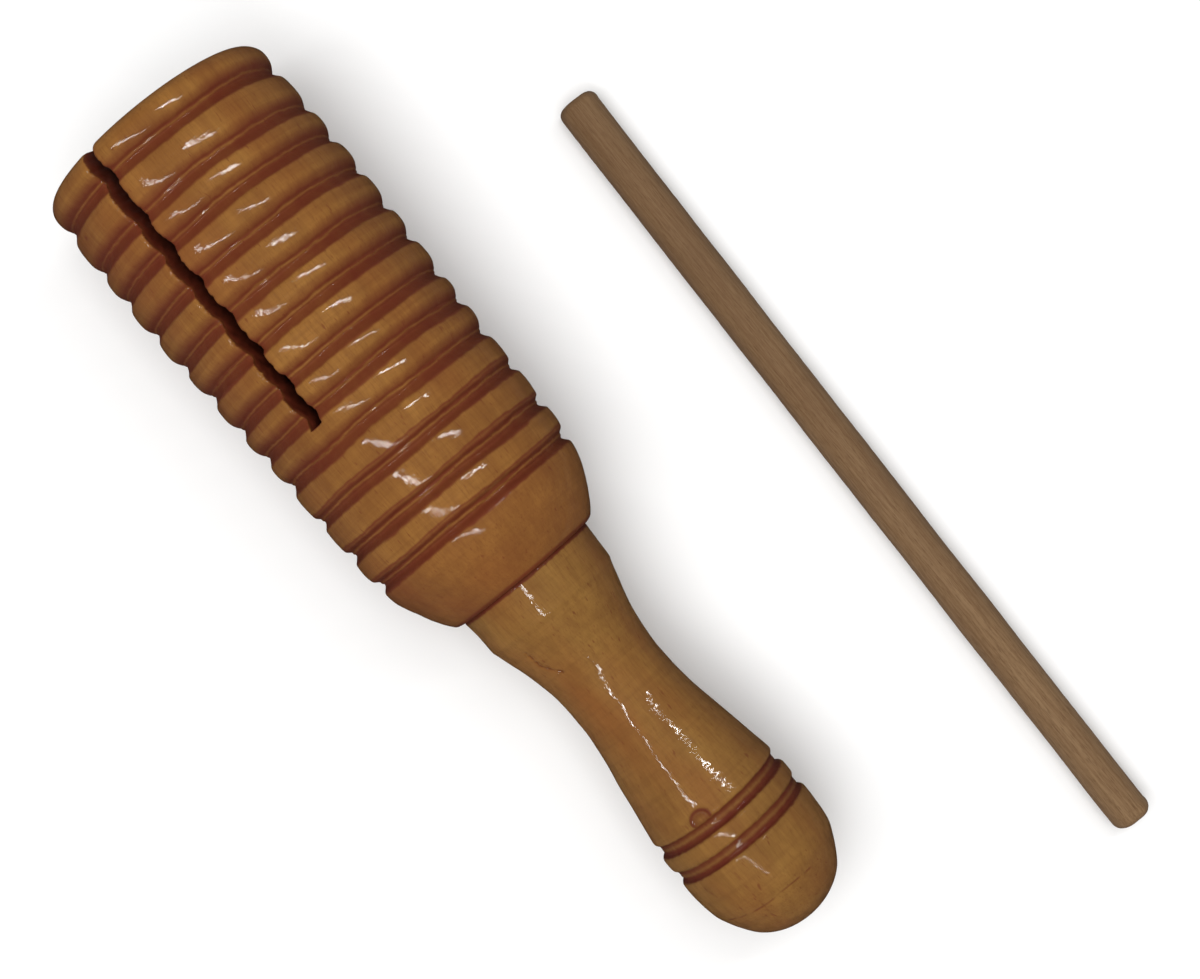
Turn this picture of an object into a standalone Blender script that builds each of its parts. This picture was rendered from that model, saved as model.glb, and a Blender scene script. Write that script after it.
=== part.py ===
"""A tone-block guiro: a turned hollow barrel with scraping ribs and a sound slot, a turned handle
glued into its shoulder, and a loose dowel scraper lying beside it.

Metres, +Z up. The instrument lies on its side on the plane z = 0, its axis along X with the open
head at -X, and tips by its own taper until it touches at two places either side of its balance
point. Along the axis, stations are measured from the head rim towards the knob.
"""

import math

import bmesh
import bpy
from mathutils import Matrix, Vector

MM = 0.001

# Barrel: ribs and crest line
RIB_PITCH = 8.05 * MM
RIB_UNEVENNESS = (-1.05, 1.45, -0.75, 0.15, 0.25, -0.35, 0.35, -0.75, -0.75, 0.85, 0.75, -0.15)
BELLY_RADIUS = 26.3 * MM
BELLY_STATION = 28.0 * MM
RIM_DROP = 0.4 * MM
LAST_RIB_DROP = 2.0 * MM
RIB_CROWN = 0.25 * MM
RIM_EDGE_RADIUS = 1.8 * MM
RIM_EDGE_STEPS = 3

# Barrel: grooves between the ribs
GROOVE_DEPTH = 1.5 * MM
EASED_GROOVES = 9
EASED_HALF_WIDTH = 2.5 * MM
CRISP_HALF_WIDTH = 1.8 * MM
GROOVE_FLANK_SHARE = 0.55

# Barrel: shoulder below the last groove
SHOULDER_DROP = 0.6 * MM
SHOULDER_LEDGE = 1.5 * MM
SHOULDER_LENGTH = 15.8 * MM
SHOULDER_BULGE = 0.9 * MM
SHOULDER_STEPS = 7

# Barrel: sound chamber and slot
WALL_THICKNESS = 7.8 * MM
CHAMBER_FLOOR = 6.4 * MM
MOUTH_CHAMFER = 0.6 * MM
SLOT_WIDTH = 3.3 * MM
SLOT_LENGTH = 66.0 * MM
SLOT_ANGLE = math.radians(28.0)
SLOT_CUTTER_OVERRUN = 5.0 * MM

# Handle: glued tenon, collar, waist and knob
TENON_RADIUS = 8.5 * MM
TENON_LENGTH = 21.0 * MM
TENON_CHAMFER = 1.0 * MM
GLUE_GAP = 0.32 * MM
SOCKET_END_GAP = 1.0 * MM
COLLAR_RADIUS = 15.1 * MM
COLLAR_LENGTH = 8.6 * MM
WAIST_RADIUS = 10.9 * MM
WAIST_FALL = 20.0 * MM
WAIST_RISE = 28.8 * MM
WAIST_FALL_POWER = 2.0
WAIST_RISE_POWER = 1.4
WAIST_STEPS = 8
GRIP_END_DROP = 0.7 * MM
KNOB_GROOVE_WIDTH = 2.7 * MM
KNOB_GROOVE_DEPTH = 1.0 * MM
KNOB_BAND_LENGTH = 3.5 * MM
KNOB_RADIUS = 15.5 * MM
KNOB_STRAIGHT = 2.9 * MM
DOME_LENGTH = 18.4 * MM
DOME_STEPS = 8

# Scraper: a plain dowel, a little thicker at its head end
SCRAPER_LENGTH = 187.0 * MM
SCRAPER_HEAD_RADIUS = 4.5 * MM
SCRAPER_TAIL_RADIUS = 4.35 * MM
SCRAPER_CHAMFER = 1.4 * MM
SCRAPER_SIDE_OFFSET = 65.2 * MM
SCRAPER_STATION = 138.4 * MM
SCRAPER_TURN = math.radians(-1.8)

# Facets round each turned piece
GUIRO_SIDES = 36
SCRAPER_SIDES = 24

SEAM_MERGE = 0.00001

GOLDEN_LACQUER = (0.34, 0.15, 0.045, 1.0)
LACQUER_ROUGHNESS = 0.22
BARE_WOOD = (0.29, 0.19, 0.115, 1.0)
BARE_WOOD_ROUGHNESS = 0.75


def clear_scene():
    for obj in list(bpy.data.objects):
        bpy.data.objects.remove(obj, do_unlink=True)


def wood(name, colour, roughness):
    material = bpy.data.materials.new(name)
    material.use_nodes = True
    shader = material.node_tree.nodes["Principled BSDF"]
    shader.inputs["Base Color"].default_value = colour
    shader.inputs["Roughness"].default_value = roughness
    shader.inputs["Metallic"].default_value = 0.0
    return material


def rib_pitches():
    """From groove to groove, with the unevenness of turning by eye."""
    return [RIB_PITCH + uneven * MM for uneven in RIB_UNEVENNESS]


def ribbed_length():
    """From the rim to the centre of the last groove."""
    return sum(rib_pitches())


def barrel_length():
    return ribbed_length() + SHOULDER_LENGTH


def chamber_radius():
    return BELLY_RADIUS - WALL_THICKNESS


def socket_floor():
    return barrel_length() - TENON_LENGTH - SOCKET_END_GAP


def crest_radius(station):
    """The line over the tops of the ribs: full near the head, easing down to the shoulder."""
    if station < BELLY_STATION:
        short_of = (BELLY_STATION - station) / BELLY_STATION
        return BELLY_RADIUS - RIM_DROP * short_of**2
    last_rib = ribbed_length() - rib_pitches()[-1] / 2
    past = (station - BELLY_STATION) / (last_rib - BELLY_STATION)
    return BELLY_RADIUS - LAST_RIB_DROP * past


def groove_points(centre, half_width, depth, edge_before, edge_after):
    """A V groove with eased flanks, between two edge radii."""
    middle = (edge_before + edge_after) / 2
    flank = depth * GROOVE_FLANK_SHARE
    return [
        (centre - half_width, edge_before),
        (centre - half_width / 2, middle - flank),
        (centre, middle - depth),
        (centre + half_width / 2, middle - flank),
        (centre + half_width, edge_after),
    ]


def rim_points():
    """The rounded outer edge of the open head, as a quarter circle."""
    points = []
    for step in range(RIM_EDGE_STEPS + 1):
        angle = math.pi / 2 * step / RIM_EDGE_STEPS
        station = RIM_EDGE_RADIUS * (1 - math.cos(angle))
        radius = crest_radius(0.0) - RIM_EDGE_RADIUS * (1 - math.sin(angle))
        points.append((station, radius))
    return points


def rib_points():
    """Every rib's crown and the groove after it."""
    points = []
    start = 0.0
    for number, pitch in enumerate(rib_pitches()):
        centre = start + pitch
        crown = start + pitch / 2
        points.append((crown, crest_radius(crown)))
        half_width = EASED_HALF_WIDTH if number < EASED_GROOVES else CRISP_HALF_WIDTH
        before = crest_radius(centre - half_width) - RIB_CROWN
        after = crest_radius(centre + half_width) - RIB_CROWN
        if number == len(RIB_UNEVENNESS) - 1:
            after = shoulder_radius()
        points += groove_points(centre, half_width, GROOVE_DEPTH, before, after)
        start = centre
    return points


def shoulder_radius():
    return BELLY_RADIUS - LAST_RIB_DROP - SHOULDER_DROP


def shoulder_points():
    """A cone from the last groove to the collar, bulged into a shallow dome."""
    start = ribbed_length() + CRISP_HALF_WIDTH
    end_radius = COLLAR_RADIUS + SHOULDER_LEDGE
    points = []
    for step in range(1, SHOULDER_STEPS + 1):
        share = step / SHOULDER_STEPS
        cone = shoulder_radius() - (shoulder_radius() - end_radius) * share
        bulge = 4 * SHOULDER_BULGE * share * (1 - share)
        points.append((start + (barrel_length() - start) * share, cone + bulge))
    return points


def barrel_outline():
    """The outside of the barrel from the rim to the shoulder's end."""
    return rim_points() + rib_points() + shoulder_points()


def barrel_profile():
    """The whole turned section: chamber, mouth, outside and the handle's socket."""
    socket_radius = TENON_RADIUS + GLUE_GAP
    chamber_end = socket_floor() - CHAMBER_FLOOR
    chamber = [
        (chamber_end, 0.0),
        (chamber_end, chamber_radius()),
        (MOUTH_CHAMFER, chamber_radius()),
        (0.0, chamber_radius() + MOUTH_CHAMFER),
    ]
    socket = [
        (barrel_length(), socket_radius),
        (socket_floor(), socket_radius),
        (socket_floor(), 0.0),
    ]
    return chamber + barrel_outline() + socket


def waist_points(start):
    """The grip's two flares: a parabola down from the collar, then a longer rise to the knob."""
    points = []
    for step in range(1, WAIST_STEPS + 1):
        share = step / WAIST_STEPS
        rise = (COLLAR_RADIUS - WAIST_RADIUS) * (1 - share) ** WAIST_FALL_POWER
        points.append((start + WAIST_FALL * share, WAIST_RADIUS + rise))
    for step in range(1, WAIST_STEPS + 1):
        share = step / WAIST_STEPS
        rise = (KNOB_RADIUS - GRIP_END_DROP - WAIST_RADIUS) * share**WAIST_RISE_POWER
        points.append((start + WAIST_FALL + WAIST_RISE * share, WAIST_RADIUS + rise))
    return points


def knob_points(start):
    """Two grooves with a band between them, a short straight and the domed end."""
    half = KNOB_GROOVE_WIDTH / 2
    first = start + half
    second = first + KNOB_GROOVE_WIDTH + KNOB_BAND_LENGTH
    knob = KNOB_RADIUS
    points = groove_points(first, half, KNOB_GROOVE_DEPTH, knob - GRIP_END_DROP, knob)[1:]
    points += groove_points(second, half, KNOB_GROOVE_DEPTH, knob, knob)
    dome = second + half + KNOB_STRAIGHT
    for step in range(DOME_STEPS + 1):
        angle = math.pi / 2 * step / DOME_STEPS
        radius = knob * math.cos(angle) if step < DOME_STEPS else 0.0
        points.append((dome + DOME_LENGTH * math.sin(angle), radius))
    return points


def handle_outline():
    """The handle's visible outside, from the collar to the tip."""
    face = barrel_length() + GLUE_GAP
    collar_end = face + COLLAR_LENGTH - GLUE_GAP
    collar = [(face, COLLAR_RADIUS), (collar_end, COLLAR_RADIUS)]
    waist_end = collar_end + WAIST_FALL + WAIST_RISE
    return collar + waist_points(collar_end) + knob_points(waist_end)


def handle_profile():
    """The whole turned section, with the tenon that fills the barrel's socket."""
    face = barrel_length() + GLUE_GAP
    tenon_end = barrel_length() - TENON_LENGTH
    tenon = [
        (tenon_end, 0.0),
        (tenon_end, TENON_RADIUS - TENON_CHAMFER),
        (tenon_end + TENON_CHAMFER, TENON_RADIUS),
        (face, TENON_RADIUS),
    ]
    return tenon + handle_outline()


def scraper_profile():
    half = SCRAPER_LENGTH / 2
    return [
        (-half, 0.0),
        (-half, SCRAPER_HEAD_RADIUS - SCRAPER_CHAMFER),
        (-half + SCRAPER_CHAMFER, SCRAPER_HEAD_RADIUS),
        (half - SCRAPER_CHAMFER, SCRAPER_TAIL_RADIUS),
        (half, SCRAPER_TAIL_RADIUS - SCRAPER_CHAMFER),
        (half, 0.0),
    ]


def balance_station(*profiles):
    """Where turned pieces of one wood balance: the station of their centre of volume."""
    volume = 0.0
    moment = 0.0
    for profile in profiles:
        for (s1, r1), (s2, r2) in zip(profile, profile[1:]):
            volume += (s2 - s1) * (r1 * r1 + r1 * r2 + r2 * r2) / 3
            near = s1 * (3 * r1 * r1 + 2 * r1 * r2 + r2 * r2)
            far = s2 * (3 * r2 * r2 + 2 * r1 * r2 + r1 * r1)
            moment += (s2 - s1) * (near + far) / 12
    return moment / volume


def resting_line(outline, balance):
    """The two outline points, either side of the balance station, that touch the table."""
    for i, (s1, r1) in enumerate(outline):
        for s2, r2 in outline[i + 1 :]:
            if not s1 < balance < s2:
                continue
            slope = (r2 - r1) / (s2 - s1)
            if all(r <= r1 + slope * (s - s1) + SEAM_MERGE for s, r in outline):
                return (s1, r1), (s2, r2)
    raise ValueError("the outline has no resting line over its balance station")


def lying_matrix(outline, balance, sides):
    """Places a turned piece on the table: local Z runs towards its head, local X points down,
    and the balance station sits over the origin."""
    flat = math.cos(math.pi / sides)
    (s1, r1), (s2, r2) = resting_line(outline, balance)
    tip = math.atan((r1 - r2) * flat / (s2 - s1))
    height = r1 * flat * math.cos(tip) - (balance - s1) * math.sin(tip)
    to_head = Vector((-math.cos(tip), 0.0, math.sin(tip)))
    down = Vector((-math.sin(tip), 0.0, -math.cos(tip)))
    turn = Matrix((down, to_head.cross(down), to_head)).transposed().to_4x4()
    return Matrix.Translation((0.0, 0.0, height)) @ turn @ Matrix.Translation((0.0, 0.0, balance))


def turned(name, profile, sides, material):
    """A closed solid of revolution: the section at +X, run round local Z by a Screw modifier."""
    mesh = bpy.data.meshes.new(name)
    shape = bmesh.new()
    corners = [shape.verts.new((radius, 0.0, -station)) for station, radius in profile]
    for first, second in zip(corners, corners[1:]):
        shape.edges.new((first, second))
    shape.to_mesh(mesh)
    shape.free()
    obj = bpy.data.objects.new(name, mesh)
    bpy.context.collection.objects.link(obj)
    screw = obj.modifiers.new("Turn", "SCREW")
    screw.steps = sides
    screw.render_steps = sides
    screw.use_merge_vertices = True
    screw.merge_threshold = SEAM_MERGE
    screw.use_smooth_shade = True
    mesh.materials.append(material)
    obj.rotation_euler = (0.0, 0.0, math.pi / sides)
    return obj


def slot_cutter(parent):
    """A saw-cut shaped block from inside the chamber out through the wall and the rim."""
    overrun = SLOT_CUTTER_OVERRUN
    inner = chamber_radius() / 2
    outer = BELLY_RADIUS + overrun
    middle = (inner + outer) / 2
    mesh = bpy.data.meshes.new("slot_cutter")
    shape = bmesh.new()
    bmesh.ops.create_cube(shape, size=1.0)
    size = Vector((outer - inner, SLOT_WIDTH, SLOT_LENGTH + overrun))
    bmesh.ops.scale(shape, vec=size, verts=shape.verts)
    shift = Vector((middle, 0.0, (overrun - SLOT_LENGTH) / 2))
    bmesh.ops.translate(shape, vec=shift, verts=shape.verts)
    shape.to_mesh(mesh)
    shape.free()
    cutter = bpy.data.objects.new("slot_cutter", mesh)
    bpy.context.collection.objects.link(cutter)
    cutter.parent = parent
    cutter.rotation_euler = (0.0, 0.0, math.pi - SLOT_ANGLE)
    cutter.hide_render = True
    cutter.display_type = "WIRE"
    return cutter


def empty(name, matrix, parent=None):
    obj = bpy.data.objects.new(name, None)
    bpy.context.collection.objects.link(obj)
    obj.parent = parent
    obj.matrix_local = matrix
    return obj


def guiro_balance():
    return balance_station(barrel_profile(), handle_profile())


def guiro_axis(table):
    """The lying axis that the barrel and the handle share."""
    outline = barrel_outline() + handle_outline()
    return empty("guiro_axis", lying_matrix(outline, guiro_balance(), GUIRO_SIDES), table)


def build_barrel(axis):
    lacquer = wood("barrel_wood", GOLDEN_LACQUER, LACQUER_ROUGHNESS)
    barrel = turned("barrel", barrel_profile(), GUIRO_SIDES, lacquer)
    barrel.parent = axis
    slot = barrel.modifiers.new("Sound slot", "BOOLEAN")
    slot.operation = "DIFFERENCE"
    slot.solver = "EXACT"
    slot.object = slot_cutter(axis)


def build_handle(axis):
    lacquer = wood("handle_wood", GOLDEN_LACQUER, LACQUER_ROUGHNESS)
    handle = turned("handle", handle_profile(), GUIRO_SIDES, lacquer)
    handle.parent = axis


def build_scraper(table):
    """The loose dowel beside the barrel. The empty that holds it is the lift joint's origin."""
    bare = wood("scraper_wood", BARE_WOOD, BARE_WOOD_ROUGHNESS)
    profile = scraper_profile()
    forward = SCRAPER_STATION - guiro_balance()
    place = Matrix.Translation((forward, SCRAPER_SIDE_OFFSET, 0.0))
    spot = empty("scraper_spot", place @ Matrix.Rotation(SCRAPER_TURN, 4, "Z"), table)
    axis = empty("scraper_axis", lying_matrix(profile, 0.0, SCRAPER_SIDES), spot)
    scraper = turned("scraper", profile, SCRAPER_SIDES, bare)
    scraper.parent = axis


def centre_on_origin(table):
    """Moves everything so that the origin is the middle of the bounding box's base."""
    bpy.context.view_layer.update()
    graph = bpy.context.evaluated_depsgraph_get()
    corners = []
    for obj in bpy.context.scene.objects:
        if obj.type != "MESH" or obj.hide_render:
            continue
        solid = obj.evaluated_get(graph)
        corners += [solid.matrix_world @ v.co for v in solid.data.vertices]
    for axis in (0, 1):
        low = min(c[axis] for c in corners)
        high = max(c[axis] for c in corners)
        table.location[axis] -= (low + high) / 2


def main():
    clear_scene()
    table = empty("table_frame", Matrix.Identity(4))
    axis = guiro_axis(table)
    build_barrel(axis)
    build_handle(axis)
    build_scraper(table)
    centre_on_origin(table)


main()
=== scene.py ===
"""Looks for the tone-block guiro: a finely turned and slotted barrel, a turned handle and a dowel
scraper, in stained and lacquered wood. Lengths are in millimetres until a mesh is made."""

import math

import bmesh
import bpy
import numpy as np
from mathutils import Matrix, Vector


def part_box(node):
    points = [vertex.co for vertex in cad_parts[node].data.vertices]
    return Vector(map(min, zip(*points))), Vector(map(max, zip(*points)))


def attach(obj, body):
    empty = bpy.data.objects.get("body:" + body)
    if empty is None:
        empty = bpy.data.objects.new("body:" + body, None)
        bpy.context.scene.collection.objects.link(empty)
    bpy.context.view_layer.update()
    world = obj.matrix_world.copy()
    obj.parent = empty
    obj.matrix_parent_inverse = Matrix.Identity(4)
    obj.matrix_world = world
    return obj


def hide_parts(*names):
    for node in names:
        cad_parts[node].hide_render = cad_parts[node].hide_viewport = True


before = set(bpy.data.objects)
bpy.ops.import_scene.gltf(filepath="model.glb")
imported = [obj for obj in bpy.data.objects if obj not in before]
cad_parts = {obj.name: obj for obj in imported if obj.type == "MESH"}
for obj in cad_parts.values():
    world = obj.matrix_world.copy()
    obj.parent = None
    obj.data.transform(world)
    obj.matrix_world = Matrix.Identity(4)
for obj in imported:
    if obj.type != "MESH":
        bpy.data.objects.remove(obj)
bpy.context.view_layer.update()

MM = 0.001

# The instrument's axis: from the head rim's centre, tipped a little towards the knob.
RESTING_TIP = 0.03076
LENGTH = 200.0
HEAD_HEIGHT = 27.05

# Barrel, as stations along the axis and radii
GROOVES = (7.0, 16.4, 23.7, 31.9, 40.3, 48.0, 56.5, 63.6, 71.1, 79.9, 88.8, 96.7)
GROOVE_RADII = (24.35, 24.8, 24.7, 24.7, 24.4, 24.1, 23.8, 23.6, 23.35, 23.3, 22.9, 22.3)
RIB_RADII = (25.8, 26.0, 26.15, 26.2, 26.05, 25.7, 25.5, 25.15, 24.9, 24.7, 24.45, 24.25)
SHOULDER = (
    (97.9, 23.2), (98.6, 23.42), (100.5, 23.15), (102.9, 22.35), (105.2, 21.3), (107.6, 20.1),
    (109.9, 18.75), (111.3, 17.75), (112.1, 16.95), (112.4, 16.3),
)
RIB_CROWN = 0.45
EASED_GROOVES = 9
# Groove sections: distance from the groove's centre, and share of its depth
EASED_SECTION = (
    (-3.6, 0.0), (-2.8, 0.05), (-2.1, 0.18), (-1.56, 0.38), (-1.1, 0.58), (-0.8, 0.8), (-0.62, 0.84),
    (-0.42, 0.8), (-0.25, 0.9), (0.0, 1.0), (0.25, 0.97), (0.6, 0.84), (1.1, 0.62), (1.5, 0.38),
    (1.75, 0.2), (2.0, 0.1), (2.5, 0.03), (3.1, 0.0),
)
CRISP_SECTION = (
    (-2.1, 0.0), (-1.75, 0.03), (-1.5, 0.16), (-1.1, 0.62), (-0.8, 0.86), (-0.55, 0.8), (-0.35, 0.78),
    (-0.15, 0.9), (0.05, 1.0), (0.35, 0.98), (0.7, 0.78), (1.1, 0.45), (1.45, 0.14), (1.7, 0.02),
    (2.1, -0.03), (2.9, 0.0),
)
RIM_ROUNDING = (3.0, 2.5)
BORE_RADIUS = 18.5
BORE_DEPTH = 84.0
SLOT_ANGLE = math.radians(-27.0)
SLOT_WIDTH = 3.15
SLOT_END = 66.2
MOUTH_CHAMFER = 0.6
# Rounding at the slot's edges is measured as if the barrel were this wide all along.
EDGE_RADIUS = 25.0
# Arcs across the slot are worked out no nearer the axis than this.
LEAST_SLOT_RADIUS = 15.0

# Handle
HANDLE = (
    (112.9, 15.3), (114.0, 15.2), (117.0, 14.98), (119.6, 14.88), (120.7, 14.8), (121.2, 14.6),
    (122.4, 14.22), (124.2, 13.72), (128.0, 12.66), (132.0, 11.74), (136.0, 11.08), (140.0, 10.82),
    (144.0, 10.9), (148.0, 11.3), (152.0, 11.87), (156.0, 12.58), (160.0, 13.22), (164.0, 13.9),
    (168.0, 14.55), (169.6, 14.78),
)
HANDLE_GROOVE_1 = (
    (169.95, 14.72), (170.3, 14.42), (170.75, 14.12), (171.2, 14.1), (171.7, 14.16), (172.2, 14.12),
    (172.6, 14.25), (172.95, 14.8), (173.2, 15.1), (173.5, 15.2),
)
BAND = ((174.6, 15.26), (175.8, 15.22), (176.15, 15.12))
HANDLE_GROOVE_2 = (
    (176.5, 14.8), (176.95, 14.6), (177.5, 14.58), (178.0, 14.62), (178.5, 14.52), (178.85, 14.62),
    (179.15, 15.05), (179.4, 15.3), (179.8, 15.4),
)
KNOB = (
    (181.0, 15.42), (183.0, 15.32), (185.5, 15.1), (187.4, 14.82), (188.7, 14.48), (190.2, 13.82),
    (191.6, 13.12), (193.2, 12.2), (194.6, 11.32), (195.8, 10.4), (197.0, 9.1), (198.1, 7.4),
    (199.0, 5.4), (199.65, 3.0), (199.9, 1.4), (200.0, 0.0),
)
COLLAR_FRONT = 112.3
COLLAR_FRONT_RADII = (0.0, 9.0, 15.1)
DOME_LENGTH = 2.0
DOME_ROWS = 90

# Scraper
SCRAPER_LENGTH = 186.0
SCRAPER_RADII = (4.4, 4.22)
SCRAPER_CHAMFER = 1.9
SCRAPER_EASING = 1.5
SCRAPER_BOW = 0.16

# Lacquer
COAT_ROUGHNESS = 0.045
COAT_IOR = 1.8

# Camera, from the head rim's centre: along the axis, off it and sideways, then its lean from the
# instrument's own upright and its roll in radians
CAMERA_ALONG = 92.974
CAMERA_OFF_AXIS = 433.344
CAMERA_SIDEWAYS = 21.706
CAMERA_LEAN = 0.038
CAMERA_ROLL = math.radians(50.187)
CAMERA_LENS = 66.552
SENSOR_WIDTH = 36.0


def linear(red, green, blue):
    """A display colour, 0 to 255, as a linear one."""
    shares = [c / 255 for c in (red, green, blue)]
    return tuple(((s + 0.055) / 1.055) ** 2.4 if s > 0.04045 else s / 12.92 for s in shares) + (1.0,)


# ---------------------------------------------------------------------------------- shapes


def spline(points, at):
    """A smooth curve through (position, value) points that never overshoots them."""
    x, y = np.array(points, float).T
    step = np.diff(x)
    slope = np.diff(y) / step
    tangent = np.zeros_like(x)
    same = slope[:-1] * slope[1:] > 0
    w1, w2 = 2 * step[1:] + step[:-1], step[1:] + 2 * step[:-1]
    with np.errstate(divide="ignore", invalid="ignore"):
        mean = (w1 + w2) / (w1 / slope[:-1] + w2 / slope[1:])
    tangent[1:-1] = np.where(same, mean, 0.0)
    tangent[0], tangent[-1] = slope[0], slope[-1]
    at = np.clip(at, x[0], x[-1])
    i = np.clip(np.searchsorted(x, at) - 1, 0, len(step) - 1)
    t = (at - x[i]) / step[i]
    a = y[i] * (2 * t**3 - 3 * t**2 + 1) + y[i + 1] * (3 * t**2 - 2 * t**3)
    return a + step[i] * (tangent[i] * (t**3 - 2 * t**2 + t) + tangent[i + 1] * (t**3 - t**2))


def ripple(x, angle, seed, wave, orders=9, count=26):
    """Smooth unevenness over a turned surface, about -1 to 1: waves of about that length along the
    axis, and up to that many round it."""
    rng = np.random.default_rng(seed)
    total = np.zeros(np.broadcast(x, angle).shape)
    for _ in range(count):
        length = wave * rng.uniform(0.6, 2.2)
        order = rng.integers(-orders, orders + 1)
        phase = rng.uniform(0, 2 * math.pi)
        total = total + np.cos(2 * math.pi * x / length + order * angle + phase)
    return total / math.sqrt(count / 1.3)


def groove_numbers(x):
    """For each station, its nearest groove and its distance past that groove's centre."""
    gaps = x[..., None] - np.array(GROOVES)
    nearest = np.abs(gaps).argmin(-1)
    return nearest, np.take_along_axis(gaps, nearest[..., None], -1)[..., 0]


def crest_line():
    """(station, radius) points along the tops of the ribs, from the rim to the shoulder."""
    edges = [0.0] + list(GROOVES)
    middles = [(a + b) / 2 for a, b in zip(edges, edges[1:])]
    return [(0.0, RIB_RADII[0] - 0.05)] + list(zip(middles, RIB_RADII)) + [SHOULDER[1]]


def barrel_table():
    """The barrel's outer radius at every 0.05 mm of its length."""
    x = np.arange(0.0, SHOULDER[-1][0] + 0.01, 0.05)
    crest = spline(crest_line(), x)
    edges = np.array((0.0,) + GROOVES + (2 * SHOULDER[1][0] - GROOVES[-1],))
    rib = np.clip(np.searchsorted(edges, x) - 1, 0, len(edges) - 2)
    across = (x - edges[rib]) / (edges[rib + 1] - edges[rib]) * 2 - 1
    crest = crest - RIB_CROWN * across**2 * (x < SHOULDER[1][0])
    depth = np.zeros_like(x)
    for number, (centre, radius) in enumerate(zip(GROOVES, GROOVE_RADII)):
        section = EASED_SECTION if number < EASED_GROOVES else CRISP_SECTION
        full = np.interp(centre, x, crest) - radius
        share = spline(section, x - centre)
        near = (x - centre > section[0][0]) & (x - centre < section[-1][0])
        depth = np.where(near, np.maximum(depth, share * full), depth)
    radius = crest - depth
    past = x > SHOULDER[0][0]
    before_crest = np.where(x[past] < SHOULDER[1][0], radius[past], np.inf)
    radius[past] = np.minimum(spline(SHOULDER, x[past]), before_crest)
    long, drop = RIM_ROUNDING
    near = x < long
    radius[near] -= drop * (1 - np.sqrt(1 - ((long - x[near]) / long) ** 2))
    return x, radius


def handle_table():
    """The handle's outer radius along its length, in closer steps over the knob's end."""
    points = HANDLE + HANDLE_GROOVE_1 + BAND + HANDLE_GROOVE_2 + KNOB
    before_dome = np.arange(HANDLE[0][0], LENGTH - DOME_LENGTH, 0.05)
    from_tip = np.linspace(DOME_LENGTH, 0.0, DOME_ROWS) ** 1.6 / DOME_LENGTH**0.6
    x = np.concatenate([before_dome, LENGTH - from_tip])
    return x, spline(points, x)


class Shell:
    """Grids of vertices on one turned piece, in station, angle and radius, with paint values."""

    def __init__(self):
        self.points, self.faces, self.paint = [], [], []
        self.count = 0

    def grid(self, x, angle, radius, stain, flip=False, wrap=False, keep=None):
        """Rows run along the axis and columns round it. keep marks the cells that get a face."""
        x, angle, radius, stain = np.broadcast_arrays(x, angle, radius, stain)
        rows, cols = x.shape
        self.points.append(np.stack([x, angle, radius], -1).reshape(-1, 3))
        self.paint.append(np.asarray(stain, float).reshape(-1))
        index = np.arange(rows * cols).reshape(rows, cols) + self.count
        if wrap:
            index = np.concatenate([index, index[:, :1]], 1)
        quads = np.stack([index[:-1, :-1], index[1:, :-1], index[1:, 1:], index[:-1, 1:]], -1)
        if keep is not None:
            quads = quads[keep]
        quads = quads.reshape(-1, 4)
        self.faces.append(quads[:, ::-1] if flip else quads)
        self.count += rows * cols

    def build(self, name, head, along, up, side):
        points = np.concatenate(self.points)
        faces = np.concatenate(self.faces)
        used, renumbered = np.unique(faces, return_inverse=True)
        faces = renumbered.reshape(-1, 4)
        x, angle, radius = points[used].T
        place = (
            np.array(head) / MM
            + np.outer(x, along)
            + np.outer(radius * np.cos(angle), up)
            + np.outer(radius * np.sin(angle), side)
        ) * MM
        mesh = bpy.data.meshes.new(name)
        mesh.from_pydata(place.tolist(), [], faces.tolist())
        stain = mesh.attributes.new("stain", "FLOAT", "POINT")
        stain.data.foreach_set("value", np.concatenate(self.paint)[used].astype(np.float32))
        shape = bmesh.new()
        shape.from_mesh(mesh)
        bmesh.ops.remove_doubles(shape, verts=shape.verts, dist=0.002 * MM)
        bmesh.ops.dissolve_degenerate(shape, edges=shape.edges, dist=0.001 * MM)
        shape.to_mesh(mesh)
        shape.free()
        mesh.shade_smooth()
        mesh.set_sharp_from_angle(angle=math.radians(50))
        obj = bpy.data.objects.new(name, mesh)
        bpy.context.collection.objects.link(obj)
        return obj


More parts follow.
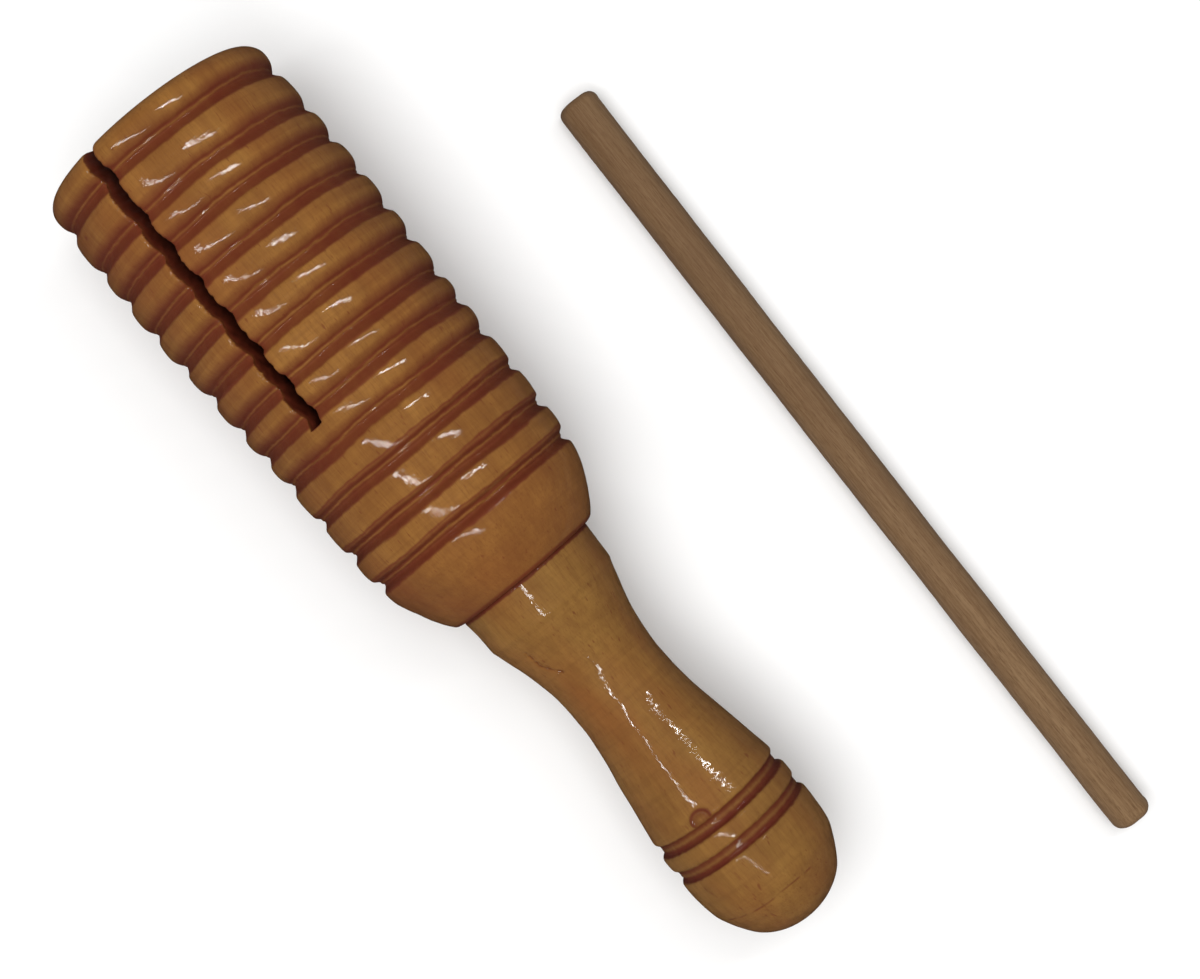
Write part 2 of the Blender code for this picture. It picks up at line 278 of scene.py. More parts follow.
def groove_stain(x, angle):
    """How much red-brown stain lies on the barrel: full in each groove with a paler line, gradual towards
    the head and crisp towards the knob; that gradual fade is partly stain and partly painted shade.
    The shoulder is darker, and painted shade darkens the barrel on either side towards the head.
    Below zero, a rib's edge is pale: partly rubbed lacquer and partly painted highlight."""
    drift = 0.16 * ripple(x, angle, 11, 14.0) + 0.07 * ripple(x, angle, 12, 2.5, 60, 40)
    nearest, past = groove_numbers(x + drift)
    eased = nearest < EASED_GROOVES
    # The head-side fade is partly stain and partly painted shade where the rib rolls into the groove.
    fade_stain_and_shade = np.clip((past + 2.95) / 2.05, 0, 1) ** 0.95
    crisp = np.clip((past + 2.45) / 0.3, 0, 1)
    head_side = np.where(eased, fade_stain_and_shade, crisp)
    knob_side = np.clip((np.where(eased, 2.15, 1.95) - past) / 0.45, 0, 1)
    full = np.where(past < 0, head_side, knob_side)
    pale = 0.62 * np.exp(-(((past + 0.5) / 0.22) ** 2))
    pale = pale + np.where(eased, 0.0, 0.34) * np.exp(-(((past + 1.75) / 0.24) ** 2))
    dark = 0.14 * np.exp(-(((past + 1.05) / 0.25) ** 2))
    # A pale line along a rib's edge: partly rubbed lacquer, partly painted highlight.
    away = (past + np.where(eased, 3.55, 2.8)) / np.where(eased, 0.5, 0.25)
    wear_and_highlight = np.where(eased, 0.16, 0.25) * np.exp(-(away**2))
    # Painted shade: darker on either side of the barrel, away from the light overhead, fading out towards
    # the handle.
    painted_side_shade = 0.27 * np.clip((np.abs(np.sin(angle)) - 0.3) / 0.6, 0, 1) * np.clip((130 - x) / 80, 0, 1)
    # The shoulder darkens too, on top of the painted side shade.
    shoulder_darkening_and_side_shade = 0.2 * np.clip((x - 96) / 3, 0, 1) + painted_side_shade
    return np.clip(full * (0.86 - pale + dark) + shoulder_darkening_and_side_shade, 0, 1) - wear_and_highlight


def slot_half_width(x):
    """Half the slot's width at each station, uneven as sawn."""
    rough = 0.09 * ripple(x, 0.0, 21, 9.0, 0) + 0.05 * ripple(x, 0.0, 22, 1.6, 0, 40)
    return SLOT_WIDTH / 2 + rough


def build_barrel(head, along, up, side):
    table_x, table_r = barrel_table()
    shell = Shell()
    face = np.linspace(BORE_RADIUS + MOUTH_CHAMFER, table_r[0] - 0.02, 10)
    rim_angle = np.linspace(0.0, math.pi / 2, 16)[:-1]
    rim_x = RIM_ROUNDING[0] * (1 - np.cos(rim_angle))
    straight = np.arange(RIM_ROUNDING[0], SLOT_END, 0.2)
    beyond = np.linspace(SLOT_END, SHOULDER[-1][0], 230)
    x = np.concatenate([np.zeros(len(face)), rim_x, straight, beyond])
    radius = np.concatenate([face, np.interp(x[len(face) :], table_x, table_r)])
    first_past_slot = len(x) - len(beyond)

    # Columns: close together at the slot's edges, even elsewhere; then a few across the slot.
    edge = np.array([0.0, 0.1, 0.25, 0.5, 0.9, 1.5]) / (2 * math.pi * EDGE_RADIUS)
    share = np.concatenate([edge, np.linspace(edge[-1], 1 - edge[-1], 288)[1:-1], 1 - edge[::-1]])
    across = np.linspace(0, 1, 8)[1:-1]
    half = np.arcsin(slot_half_width(x)[:, None] / np.maximum(radius, 18.0)[:, None])
    start = SLOT_ANGLE + half
    angle = start + share * (2 * math.pi - 2 * half)
    gap = SLOT_ANGLE + 2 * math.pi - half + across * 2 * half
    angle = np.concatenate([angle, gap], 1)
    xs = np.broadcast_to(x[:, None], angle.shape)

    drift = 0.13 * ripple(xs, angle, 1, 20.0) + 0.03 * ripple(xs, angle, 2, 3.0, 40, 40)
    shape = np.interp(np.clip(xs + drift * (xs > 3.2), 0, table_x[-1]), table_x, table_r)
    on_face = np.arange(len(x)) < len(face)
    r = np.where(on_face[:, None], radius[:, None], shape)
    bump = 0.045 * ripple(xs, angle, 3, 12.0, 12) + 0.005 * ripple(xs, angle, 4, 1.2, 50, 60)
    r = r + bump * np.clip(xs / 2, 0, 1) * np.clip((112.4 - xs) / 1.0, 0, 1)

    # The slot's edges are eased, with small chips.
    columns = len(share)
    far = np.minimum(share, 1 - share) * 2 * math.pi * EDGE_RADIUS
    ease = 0.28 + 0.22 * np.clip(ripple(x, 0.0, 5, 2.2, 0, 30), 0, 1.6)[:, None]
    eased = ease * np.clip(1 - far / (ease + 0.15), 0, 1) ** 2
    open_rows = (np.arange(len(x)) < first_past_slot)[:, None]
    r[:, :columns] -= np.where(open_rows, eased, 0.0)
    past_end = xs[:, columns:] - SLOT_END
    r[:, columns:] -= 0.3 * np.clip(1 - past_end / 0.45, 0, 1) ** 2
    stain = groove_stain(xs, angle)
    stain = np.where(on_face[:, None], 0.35, stain)
    # Along the slot: a painted highlight on one edge, where the stain is thin, and darker stain along the
    # other.
    near_slot = np.exp(-far / 0.45) * open_rows
    bare = np.clip(1 - 2 * stain[:, :columns], 0, 1)
    lip_highlight_and_darkening = np.where(share > 0.5, -0.5 * near_slot * bare, 0.6 * near_slot)
    stain[:, :columns] = np.clip(stain[:, :columns] + lip_highlight_and_darkening, -0.6, 0.95)
    stain = np.maximum(stain, 0.9 * np.clip((xs - 111.4) / 0.5, 0, 1))
    spot = np.hypot(xs - 10.8, (np.mod(angle + 1.03 + math.pi, 2 * math.pi) - math.pi) * 26.0)
    stain = np.maximum(stain, 0.85 * np.clip(1.6 - spot / 0.5, 0, 1))
    # The shoulder's end face closes the piece, behind the handle's collar.
    inward = np.array([0.9, 0.75, 0.55, 0.3, 0.0])[:, None]
    last = np.ones_like(inward)
    xs = np.concatenate([xs, xs[-1:] * last])
    angle = np.concatenate([angle, angle[-1:] * last])
    r = np.concatenate([r, r[-1:] * inward])
    stain = np.concatenate([stain, np.ones((len(inward), stain.shape[1]))])
    keep = np.ones((len(xs) - 1, angle.shape[1]), bool)
    keep[:first_past_slot, columns - 1 :] = False
    shell.grid(xs, angle, r, stain, wrap=True, keep=keep)

    # The slot's two walls, from the outside down to the bore.
    down = np.linspace(0, 1, 9) ** 1.3
    rows = slice(len(face), first_past_slot + 1)
    for column, sign in ((0, 1), (columns - 1, -1)):
        top_r = r[rows, column][:, None]
        wall_r = top_r + (BORE_RADIUS - top_r) * down
        station = x[rows][:, None]
        wall_x = station + (np.maximum(station, MOUTH_CHAMFER) - station) * down**8
        sawn = ripple(wall_x, wall_r, 6 + column, 3.0, 3)
        rough = 4 * down * (1 - down) * np.clip(wall_x / 2 - 0.3, 0, 1) * sawn
        width = slot_half_width(x[rows])[:, None] + 0.1 * rough
        wall_angle = SLOT_ANGLE + sign * np.arcsin(width / np.maximum(wall_r, LEAST_SLOT_RADIUS))
        wall_angle[:, 0] = angle[rows, column] - (0 if sign > 0 else 2 * math.pi)
        # Painted shade: the walls go from stain at the mouth to near black deeper down.
        deep = 0.7 + 1.3 * down**0.8
        shell.grid(wall_x, wall_angle, wall_r, deep, flip=sign > 0)
    end_r = np.linspace(0, 1, 9)[:, None]
    ring = np.concatenate([[columns - 1], np.arange(columns, columns + len(across)), [0]])
    top = r[first_past_slot, ring]
    ring_angle = angle[first_past_slot, ring].copy()
    ring_angle[-1] += 2 * math.pi
    end_radius = top[None, :] + (BORE_RADIUS - top[None, :]) * end_r
    spread = (ring_angle - SLOT_ANGLE - 2 * math.pi)[None, :] * top[None, :] / end_radius
    # The slot's end wall carries painted shade, near black.
    shell.grid(SLOT_END, SLOT_ANGLE + spread, end_radius, 1.7)

    # The bore, its floor and the mouth's small chamfer.
    beside_slot = np.arange(1.4, SLOT_END, 0.8)
    bore_x = np.concatenate([[0.0, MOUTH_CHAMFER], beside_slot, np.linspace(SLOT_END, BORE_DEPTH, 14)])
    floor_x = np.full(6, BORE_DEPTH)
    bore_r = np.full(len(bore_x), BORE_RADIUS)
    bore_r[0] += MOUTH_CHAMFER
    all_x = np.concatenate([bore_x, floor_x])
    all_r = np.concatenate([bore_r, np.linspace(BORE_RADIUS, 0.0, 7)[1:]])
    half = np.arcsin(slot_half_width(all_x)[:, None] / np.maximum(all_r, LEAST_SLOT_RADIUS)[:, None])
    ring_share = np.linspace(0, 1, 97)
    ring_angle = SLOT_ANGLE + half + ring_share * (2 * math.pi - 2 * half)
    keep = np.ones((len(all_x) - 1, len(ring_share)), bool)
    keep[: int((bore_x < SLOT_END).sum()), -1] = False
    # Painted shade: the bore is near black, darker the deeper it goes.
    tone = np.clip(1.1 + all_x[:, None] / 60, 1.0, 2.0)
    shell.grid(all_x[:, None], ring_angle, all_r[:, None], tone, flip=True, wrap=True, keep=keep)
    return shell.build("barrel_turned", head, along, up, side)


def handle_stain(x, angle):
    """Stain on the handle: the glued joint's ring, and the two grooves with their paler middles. It darkens
    towards the knob's end, and on the +Y side, partly a redder tone and partly painted shade.
    """
    wander = 0.06 * ripple(x, angle, 31, 12.0, 5) + 0.05 * ripple(x, angle, 32, 2.0, 60, 40)
    at = x + wander
    total = np.clip((113.3 - at) / 0.3, 0, 1) * 0.95
    for low, high in ((170.0, 173.15), (176.3, 179.35)):
        inside = np.clip((at - low) / 0.3, 0, 1) * np.clip((high - at) / 0.22, 0, 1)
        middle = (low + high) / 2 - 0.1
        paler = 0.5 * np.exp(-(((at - middle) / 0.42) ** 2))
        darker = 0.14 * np.clip((at - middle) / 0.8, 0, 1)
        total = np.maximum(total, inside * (0.88 - paler + darker))
    # Darker towards the knob's end; on the +Y side, partly a redder tone and partly painted shade.
    tip = 0.2 * np.clip((x - 187) / 8, 0, 1) + 0.12 * np.clip((np.sin(angle) - 0.4) / 0.4, 0, 1)
    return np.clip(total + tip, 0, 1)


def turned_from(angle, zero):
    """The angle past a zero line, from -pi to pi."""
    return np.mod(angle - zero + math.pi, 2 * math.pi) - math.pi


def line_distance(x, angle, radius, points):
    """How far each point of the surface is from a line through (station, degrees) points."""
    across = turned_from(angle, 0.0) * radius
    nearest = np.full(across.shape, 99.0)
    for (x0, a0), (x1, a1) in zip(points, points[1:]):
        y0, y1 = math.radians(a0) * radius, math.radians(a1) * radius
        run, rise = x1 - x0, y1 - y0
        t = np.clip(((x - x0) * run + (across - y0) * rise) / (run**2 + rise**2), 0, 1)
        nearest = np.minimum(nearest, np.hypot(x - x0 - t * run, across - y0 - t * rise))
    return nearest


# A drop of lacquer that ran out of the first groove, as station, angle and radius
DRIP = (169.35, math.radians(-14.5), 1.85)
DRIP_HANDLE_RADIUS = 14.4
DRIP_STRETCH = 1.15
# Fine cracks and a dent in the handle: lines of (station, degrees), radius there, half width,
# depth and stain
HANDLE_MARKS = (
    (((188.6, -78), (189.6, -50), (190.2, -20), (190.0, 5), (190.3, 28)), 13.9, 0.2, 0.06, 0.75),
    (((180.8, -20), (186.0, -20.5), (190.3, -21.5)), 14.6, 0.16, 0.05, 0.5),
    (((190.3, -21.5), (192.5, -24), (195.0, -27)), 12.6, 0.18, 0.05, 0.6),
    (((124.3, -42.8), (127.6, -44.8), (129.9, -38), (131.3, -31.4)), 12.8, 0.34, 0.4, 0.6),
    (((125.0, -39.5), (127.4, -41.0), (129.0, -36.5)), 12.8, 0.16, 0.1, 0.3),
)


def drip_shape(x, angle):
    """The drop's arch, open towards the groove, and the bead inside it, and how stained they are."""
    along = (x - DRIP[0]) / DRIP[2]
    away = np.hypot(along, turned_from(angle, DRIP[1]) * DRIP_HANDLE_RADIUS / DRIP_STRETCH / DRIP[2])
    closed = np.clip((0.75 - along) / 0.5, 0, 1)
    arch = closed * np.exp(-(((away - 1.0) / 0.17) ** 2))
    bead = np.exp(-((away / 0.42) ** 2))
    height = 0.22 * arch + 0.36 * bead
    inside = np.clip((1.2 - away) / 0.15, 0, 1) * closed
    paint = 0.62 * inside + 0.34 * closed * np.exp(-(((away - 0.92) / 0.14) ** 2)) - 0.5 * bead
    return height, paint


def build_handle(head, along, up, side):
    x, radius = handle_table()
    dome = len(x) - DOME_ROWS
    keep_rows = np.unique(np.concatenate([np.arange(0, dome, 4), np.arange(dome, len(x), 2), [len(x) - 1]]))
    x, radius = x[keep_rows], radius[keep_rows]
    front = len(COLLAR_FRONT_RADII)
    x = np.concatenate([[COLLAR_FRONT] * front, x])
    radius = np.concatenate([COLLAR_FRONT_RADII, radius])
    angle = np.linspace(0, 2 * math.pi, 401)[:-1][None, :]
    xs = x[:, None] + 0 * angle
    drift = 0.05 * ripple(xs, angle, 33, 30.0, 4)
    body = (xs > 122) & (xs < 195)
    drifted = np.interp(np.clip(xs + drift, x[front], LENGTH), x[front:], radius[front:])
    shape = np.where(body, drifted, radius[:, None])
    bump = 0.05 * ripple(xs, angle, 34, 14.0, 6) + 0.004 * ripple(xs, angle, 35, 1.6, 40, 60)
    r = shape + bump * np.clip(radius[:, None] / 8 - 0.3, 0, 1) * np.clip((xs - 113) / 2, 0, 1)
    height, paint = drip_shape(xs, angle)
    r = r + height
    stain = np.maximum(handle_stain(xs, angle), paint)
    wander = 0.12 * ripple(xs, angle, 36, 5.0, 12)
    for points, at_radius, width, deep, dark in HANDLE_MARKS:
        share = np.exp(-((line_distance(xs + wander, angle, at_radius, points) / width) ** 2))
        share = share * np.clip(0.75 + 0.5 * ripple(xs, angle, 37, 1.5, 30), 0.2, 1)
        r = r - deep * share
        stain = np.maximum(stain, dark * share)
    r = np.maximum(r, 0.0)
    shell = Shell()
    shell.grid(xs, angle, r, stain, wrap=True)
    return shell.build("handle_turned", head, along, up, side)


def build_scraper(low, high):
    """A sawn and eased dowel, very slightly bowed, lying between the CAD dowel's two ends."""
    head_end = Vector((low[0], high[1], 0.0))
    tail_end = Vector((high[0], low[1], 0.0))
    run = tail_end - head_end
    turn = math.atan2(run.y + 2 * SCRAPER_RADII[0] * MM, run.x)
    middle = (head_end + tail_end) / 2
    along = np.array([math.cos(turn), math.sin(turn), 0.0])
    side = np.array([-math.sin(turn), math.cos(turn), 0.0])
    up = np.array([0.0, 0.0, 1.0])
    half = SCRAPER_LENGTH / 2
    ease = np.linspace(0, math.pi / 2, 9)
    cap_x = SCRAPER_CHAMFER * (1 - np.cos(ease))
    cap_r = SCRAPER_EASING * (1 - np.sin(ease))
    body = np.arange(-half + SCRAPER_CHAMFER, half - SCRAPER_CHAMFER, 0.6)
    x = np.concatenate([[-half, -half, -half], -half + cap_x, body[1:], (half - cap_x)[::-1], [half] * 3])
    base = np.interp(x, [-half, half], SCRAPER_RADII)
    inset = np.zeros_like(x)
    inset[3:12] = cap_r
    inset[-12:-3] = cap_r[::-1]
    radius = base - inset
    face = SCRAPER_RADII[0] - SCRAPER_EASING
    radius[:3] = (0.0, face * 0.5, face * 0.85)
    radius[-3:] = (face * 0.82, face * 0.5, 0.0)
    angle = np.linspace(0, 2 * math.pi, 97)[:-1][None, :]
    xs = x[:, None] + 0 * angle
    rough = 0.035 * ripple(xs, angle, 41, 22.0, 5) + 0.012 * ripple(xs, angle, 42, 3.0, 24, 40)
    edge = 0.12 * ripple(0 * xs, angle, 43, 10.0, 7) * (np.abs(xs) > half - 2.4)
    r = np.maximum(radius[:, None] + (rough + edge) * np.clip(radius[:, None] / 2, 0, 1), 0.0)
    shell = Shell()
    end_grain = 0.35 * np.clip((np.abs(xs) - (half - 1.6)) / 0.8, 0, 1)
    # Darker towards the head end, unevenly.
    darker_towards_head_end = np.clip(0.5 - xs / 150, 0, 0.8) + 0.08 * ripple(xs, angle, 44, 30.0, 2)
    shell.grid(xs, angle, r, end_grain + np.clip(darker_towards_head_end, 0, 1), wrap=True)
    head = np.array([middle.x, middle.y, SCRAPER_RADII[0] * MM])
    obj = shell.build("scraper_dowel", head, along, up, side)
    for vertex in obj.data.vertices:
        run = (Vector(vertex.co) - Vector(head)).dot(Vector(along)) / (half * MM)
        vertex.co += Vector(side) * SCRAPER_BOW * MM * run * run
    return obj


# ------------------------------------------------------------------------------- materials


class Nodes:
    """Short calls for building one material's node tree."""

    def __init__(self, name):
        self.material = bpy.data.materials.new(name)
        self.material.use_nodes = True
        self.tree = self.material.node_tree
        self.shader = self.tree.nodes["Principled BSDF"]
        self.where = self.add("ShaderNodeTexCoord").outputs["Object"]

    def add(self, kind, **settings):
        node = self.tree.nodes.new(kind)
        for key, value in settings.items():
            setattr(node, key, value)
        return node

    def join(self, source, socket):
        self.tree.links.new(source, socket)

    def noise(self, scale, detail=4.0, rough=0.55, seed=0.0, distortion=0.0):
        """Noise whose grains are 1 / scale metres long along each axis."""
        mapping = self.add("ShaderNodeMapping")
        mapping.inputs["Scale"].default_value = scale
        mapping.inputs["Location"].default_value = (seed, seed * 1.7, seed * 2.3)
        self.join(self.where, mapping.inputs["Vector"])
        node = self.add("ShaderNodeTexNoise")
        node.inputs["Scale"].default_value = 1.0
        node.inputs["Detail"].default_value = detail
        node.inputs["Roughness"].default_value = rough
        node.inputs["Distortion"].default_value = distortion
        self.join(mapping.outputs["Vector"], node.inputs["Vector"])
        return node.outputs["Fac"]

    def ramp(self, source, *stops):
        """Maps a value through (position, level) stops."""
        node = self.add("ShaderNodeValToRGB")
        elements = node.color_ramp.elements
        while len(elements) < len(stops):
            elements.new(0.5)
        for element, (position, level) in zip(elements, stops):
            element.position = position
            element.color = (level, level, level, 1.0)
        self.join(source, node.inputs["Fac"])
        return node.outputs["Color"]

    def mix(self, factor, a, b):
        """Colour a turning into colour b. Each value is a socket, a number or a colour."""
        node = self.add("ShaderNodeMix", data_type="RGBA")
        for value, socket in ((factor, node.inputs[0]), (a, node.inputs[6]), (b, node.inputs[7])):
            if isinstance(value, (tuple, float)):
                socket.default_value = value
            else:
                self.join(value, socket)
        return node.outputs[2]

    def over(self, base, mask, low, high, share, colour):
        """Lays a colour over the base where the mask rises from low to high, up to that share."""
        amount = self.maths("MULTIPLY", self.ramp(mask, (low, 0.0), (high, 1.0)), share)
        return self.mix(amount, base, colour)

    def maths(self, operation, a, b, clamp=False):
        node = self.add("ShaderNodeMath", operation=operation, use_clamp=clamp)
        for value, socket in ((a, node.inputs[0]), (b, node.inputs[1])):
            if isinstance(value, float):
                socket.default_value = value
            else:
                self.join(value, socket)
        return node.outputs[0]

    def bump(self, height, distance, strength=1.0, under=None):
        node = self.add("ShaderNodeBump")
        node.inputs["Distance"].default_value = distance
        node.inputs["Strength"].default_value = strength
        self.join(height, node.inputs["Height"])
        if under is not None:
            self.join(under, node.inputs["Normal"])
        return node.outputs["Normal"]

    def attribute(self, name):
        return self.add("ShaderNodeAttribute", attribute_name=name).outputs["Fac"]


def lacquered_wood(
    name, pale, mid, deep, stain_colour, seed, skin_share=1.0, peel_depth=0.000012, bare_share=0.35
):
    """Streaked wood under stain and a gloss coat. The coat's skin is uneven by skin_share and
    peel_depth, and bare_share is how far it is rubbed dull in patches. The stain value runs from
    pale below 0 (rubbed lacquer and painted highlight), through bare wood and full stain, to painted
    shade at 2: near black, with the coat fading out, for the barrel's slot walls and bore."""
    n = Nodes(name)
    figure = n.noise((18, 130, 130), 3.0, 0.55, seed, 0.6)
    streaks = n.noise((70, 900, 900), 4.0, 0.6, seed + 1)
    fibres = n.noise((260, 3200, 3200), 2.0, 0.6, seed + 2)
    blotches = n.noise((70, 90, 90), 3.0, 0.5, seed + 3)
    specks = n.noise((420, 1500, 1500), 1.0, 0.5, seed + 4)
    wood = n.mix(n.ramp(figure, (0.32, 0.0), (0.68, 1.0)), pale, mid)
    wood = n.over(wood, streaks, 0.42, 0.75, 0.4, deep)
    wood = n.over(wood, blotches, 0.45, 0.8, 0.6, deep)
    wood = n.over(wood, fibres, 0.52, 0.78, 0.5, deep)
    wood = n.over(wood, specks, 0.68, 0.8, 0.55, stain_colour)
    patches = n.noise((28, 60, 60), 2.0, 0.5, seed + 8)
    wood = n.over(wood, patches, 0.5, 0.72, 0.4, linear(124, 66, 33))
    turned = n.noise((1100, 30, 30), 3.0, 0.6, seed + 10)
    wood = n.over(wood, turned, 0.45, 0.75, 0.3, deep)
    stain = n.attribute("stain")
    uneven = n.noise((120, 420, 420), 4.0, 0.6, seed + 5)
    amount = n.maths("MULTIPLY", stain, n.ramp(uneven, (0.25, 0.86), (0.7, 1.0)), True)
    coloured = n.mix(amount, wood, stain_colour)
    # Below 0: paler, partly rubbed lacquer and partly painted highlight.
    wear_and_highlight = n.maths("MULTIPLY", stain, -1.0, True)
    coloured = n.mix(wear_and_highlight, coloured, linear(206, 170, 112))
    # Above 1: painted shade, close to black, for the slot walls and bore; the coat weight below fades out
    # with it.
    inner_painted_shade = n.maths("SUBTRACT", stain, 1.0, True)
    coloured = n.mix(inner_painted_shade, coloured, linear(34, 16, 10))
    n.join(coloured, n.shader.inputs["Base Color"])

    grain = n.bump(fibres, 0.00006, 0.5)
    grain = n.bump(streaks, 0.00012, 0.35, grain)
    n.join(grain, n.shader.inputs["Normal"])
    skin = n.noise((300, 620, 620), 3.0, 0.5, seed + 6)
    ridges = n.noise((2600, 120, 120), 2.0, 0.5, seed + 7)
    peel = n.noise((1500, 2100, 2100), 2.0, 0.5, seed + 9)
    coat = n.bump(peel, peel_depth, 0.5)
    coat = n.bump(skin, 0.00008 * skin_share, 0.5, coat)
    coat = n.bump(streaks, 0.00006 * skin_share, 0.5, coat)
    coat = n.bump(ridges, 0.00002, 0.5, coat)
    n.join(coat, n.shader.inputs["Coat Normal"])
    rough = n.ramp(blotches, (0.3, 0.5), (0.7, 0.62))
    n.join(rough, n.shader.inputs["Roughness"])
    rubbed = n.noise((300, 520, 520), 3.0, 0.6, seed + 11)
    dulled = n.ramp(amount, (0.3, 0.62), (0.85, 0.22))
    dulled = n.maths("MULTIPLY", dulled, n.ramp(rubbed, (0.47, 1.0 - bare_share), (0.57, 1.0)))
    weight = n.maths("MULTIPLY", dulled, n.ramp(inner_painted_shade, (0.0, 1.0), (0.5, 0.0)))
    n.join(weight, n.shader.inputs["Coat Weight"])
    n.shader.inputs["Coat Roughness"].default_value = COAT_ROUGHNESS
    n.shader.inputs["Coat IOR"].default_value = COAT_IOR
    n.shader.inputs["Specular IOR Level"].default_value = 0.15
    return n.material


def bare_dowel():
    n = Nodes("bare_dowel")
    figure = n.noise((12, 220, 220), 3.0, 0.6, 3.0, 0.4)
    grain = n.noise((40, 2400, 2400), 3.0, 0.65, 4.0)
    ticks = n.noise((420, 5200, 5200), 2.0, 0.6, 5.0)
    grime = n.noise((60, 90, 90), 3.0, 0.55, 6.0)
    wood = n.mix(n.ramp(figure, (0.3, 0.0), (0.7, 1.0)), linear(140, 112, 80), linear(122, 95, 66))
    wood = n.over(wood, grain, 0.42, 0.62, 0.6, linear(104, 76, 50))
    wood = n.over(wood, ticks, 0.5, 0.66, 0.65, linear(92, 66, 42))
    wood = n.over(wood, grime, 0.5, 0.8, 0.35, linear(106, 81, 58))
    wood = n.mix(n.maths("MULTIPLY", n.attribute("stain"), 0.6), wood, linear(98, 72, 48))
    n.join(wood, n.shader.inputs["Base Color"])
    n.join(n.ramp(grain, (0.3, 0.62), (0.7, 0.78)), n.shader.inputs["Roughness"])
    n.join(n.bump(ticks, 0.00006, 0.6, n.bump(grain, 0.0001, 0.6)), n.shader.inputs["Normal"])
    n.shader.inputs["Specular IOR Level"].default_value = 0.35
    return n.material


def paper_floor():
    n = Nodes("pale_floor")
    tone = n.noise((6, 6, 6), 2.0, 0.5, 8.0)
    n.join(n.mix(tone, linear(240, 240, 240), linear(244, 244, 244)), n.shader.inputs["Base Color"])
    n.shader.inputs["Roughness"].default_value = 0.9
    n.shader.inputs["Specular IOR Level"].default_value = 0.1
    return n.material


# ----------------------------------------------------------------------- stage and camera


def build_floor():
    mesh = bpy.data.meshes.new("floor")
    shape = bmesh.new()
    bmesh.ops.create_grid(shape, x_segments=8, y_segments=8, size=3.0)
    shape.to_mesh(mesh)
    shape.free()
    floor = bpy.data.objects.new("floor", mesh)
    bpy.context.collection.objects.link(floor)
    floor.location.z = -0.0001
    mesh.materials.append(paper_floor())
    floor.visible_glossy = False


def area_light(name, place, target, size, power, roll=0.0):
    """A rectangular lamp facing its target. Its long side runs along Y, rolled towards +X."""
    data = bpy.data.lights.new(name, "AREA")
    data.shape = "RECTANGLE"
    data.size, data.size_y = size
    data.energy = power
    obj = bpy.data.objects.new(name, data)
    bpy.context.collection.objects.link(obj)
    place = Vector(place)
    facing = (place - Vector(target)).normalized()
    level = Vector((1.0, 0.0, 0.0))
    level = (level - facing * level.dot(facing)).normalized()
    upright = facing.cross(level)
    across = level * math.cos(roll) - upright * math.sin(roll)
    axes = Matrix((across, facing.cross(across), facing)).transposed()
    obj.matrix_world = Matrix.LocRotScale(place, axes.to_quaternion(), None)
    return obj


def build_lights(centre):
    world = bpy.data.worlds.new("soft_room")
    world.use_nodes = True
    background = world.node_tree.nodes["Background"]
    background.inputs["Color"].default_value = (1.0, 0.99, 0.97, 1.0)
    background.inputs["Strength"].default_value = 0.32
    world.cycles_visibility.glossy = False
    bpy.context.scene.world = world
    for name, lean_x, lean_y, far, size, roll, power in (
        ("lamp_scraper_side", -8.0, 27.0, 1.6, (0.02, 0.8), 28.0, 3.4),
        ("lamp_far_side", 9.0, -19.5, 1.6, (0.02, 1.46), 59.0, 4.8),
        ("soft_overhead", 0.0, -7.0, 2.2, (1.9, 1.9), 0.0, 40.0),
    ):
        slope = (math.tan(math.radians(lean_x)), math.tan(math.radians(lean_y)), 1.0)
        place = Vector(centre) + Vector(slope).normalized() * far
        lamp = area_light(name, place, centre, size, power, math.radians(roll))
        lamp.visible_glossy = name != "soft_overhead"


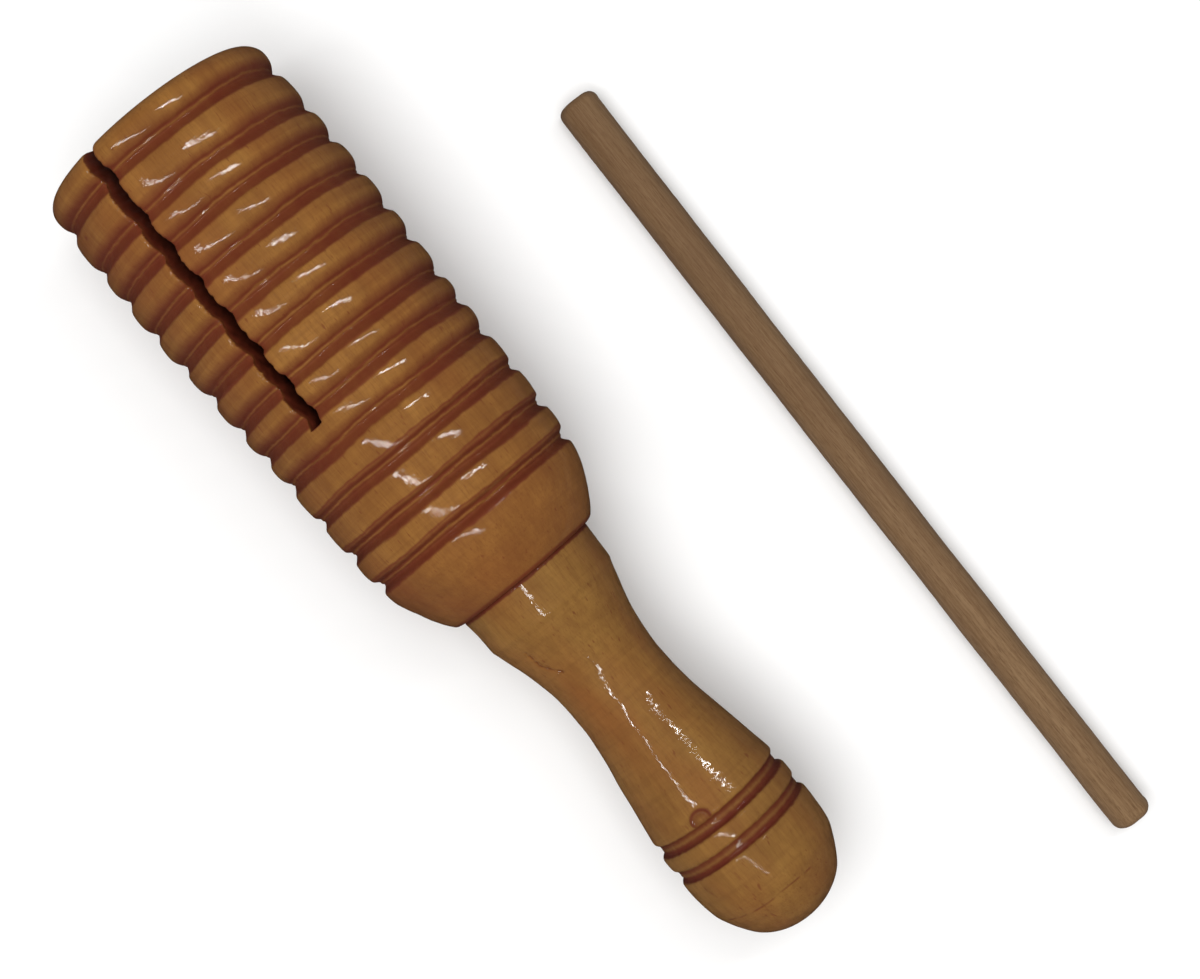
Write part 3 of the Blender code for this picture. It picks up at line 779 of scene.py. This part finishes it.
def build_camera(head, along):
    """Looks almost straight down, with the instrument lying corner to corner."""
    lean = RESTING_TIP - CAMERA_LEAN
    facing = Vector((math.sin(lean), 0.0, math.cos(lean)))
    level = Vector((math.cos(lean), 0.0, -math.sin(lean)))
    sideways = Vector((0.0, 1.0, 0.0))
    right = math.cos(CAMERA_ROLL) * level + math.sin(CAMERA_ROLL) * sideways
    upward = -math.sin(CAMERA_ROLL) * level + math.cos(CAMERA_ROLL) * sideways
    off_axis = Vector((math.sin(RESTING_TIP), 0.0, math.cos(RESTING_TIP)))
    place = Vector(head) + Vector(along) * CAMERA_ALONG * MM
    place += off_axis * CAMERA_OFF_AXIS * MM + sideways * CAMERA_SIDEWAYS * MM
    data = bpy.data.cameras.new("camera")
    data.sensor_fit = "HORIZONTAL"
    data.sensor_width = SENSOR_WIDTH
    data.lens = CAMERA_LENS
    data.clip_start = 0.01
    camera = bpy.data.objects.new("camera", data)
    bpy.context.collection.objects.link(camera)
    turn = Matrix((right, upward, facing)).transposed().to_4x4()
    camera.matrix_world = Matrix.Translation(place) @ turn
    bpy.context.scene.camera = camera


# ---------------------------------------------------------------------------------- build


def main():
    bpy.context.scene.view_settings.view_transform = "Standard"
    low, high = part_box("barrel")
    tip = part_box("handle")[1]
    along = np.array([math.cos(RESTING_TIP), 0.0, -math.sin(RESTING_TIP)])
    up = np.array([math.sin(RESTING_TIP), 0.0, math.cos(RESTING_TIP)])
    side = np.array([0.0, 1.0, 0.0])
    head = np.array([tip[0] - LENGTH * MM * along[0], (low[1] + high[1]) / 2, HEAD_HEIGHT * MM])

    barrel = build_barrel(head, along, up, side)
    handle = build_handle(head, along, up, side)
    scraper = build_scraper(*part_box("scraper"))
    pale, mid, deep = linear(150, 104, 49), linear(136, 90, 42), linear(108, 65, 31)
    red = linear(98, 40, 25)
    barrel.data.materials.append(lacquered_wood("barrel_lacquer", pale, mid, deep, red, 1.0))
    pale, mid, deep = linear(138, 100, 49), linear(127, 88, 43), linear(104, 67, 33)
    red = linear(88, 33, 22)
    handle.data.materials.append(
        lacquered_wood("handle_lacquer", pale, mid, deep, red, 21.0, 0.4, 0.00002, 0.85)
    )
    scraper.data.materials.append(bare_dowel())

    for piece, body, node, slot in (
        (barrel, "guiro", "barrel", "barrel_wood"),
        (handle, "guiro", "handle", "handle_wood"),
        (scraper, "scraper", "scraper", "scraper_wood"),
    ):
        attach(piece, body)
        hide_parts(node)

    build_floor()
    build_lights(tuple(head + along * 0.1))
    build_camera(head, along)


main()
